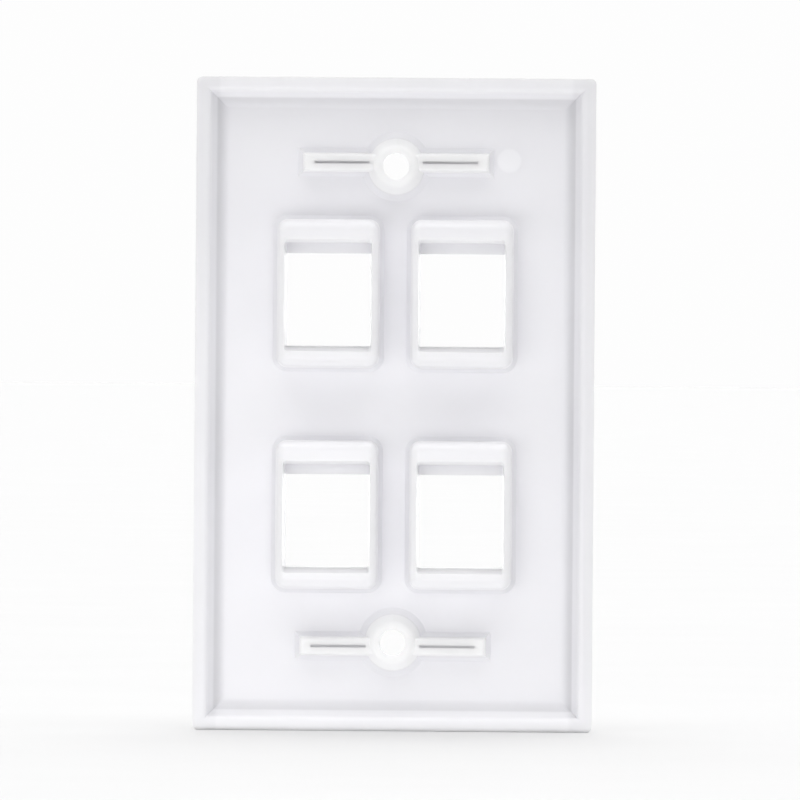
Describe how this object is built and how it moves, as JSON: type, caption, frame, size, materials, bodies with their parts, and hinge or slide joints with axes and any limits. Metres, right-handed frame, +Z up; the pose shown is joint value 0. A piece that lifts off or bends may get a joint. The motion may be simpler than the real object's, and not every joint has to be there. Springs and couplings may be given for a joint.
{
  "type": "keystone faceplate",
  "caption": "Single-gang wall plate, moulded in one piece, with flush snap-in ports for keystone jacks, screw bosses and ribs on its hollow back, and a bevelled border.",
  "frame": {"origin": "middle of the rim's rear plane, which lies on the wall, midway between the two screws", "axes": "+X to the right as seen from the room, +Y through the plate into the wall, +Z up the plate"},
  "size_m": [0.0698, 0.01, 0.1142],
  "materials": {
    "white_plastic": "gloss"
  },
  "bodies": {
    "root": {"faceplate": "white_plastic"}
  },
  "joints": []
}
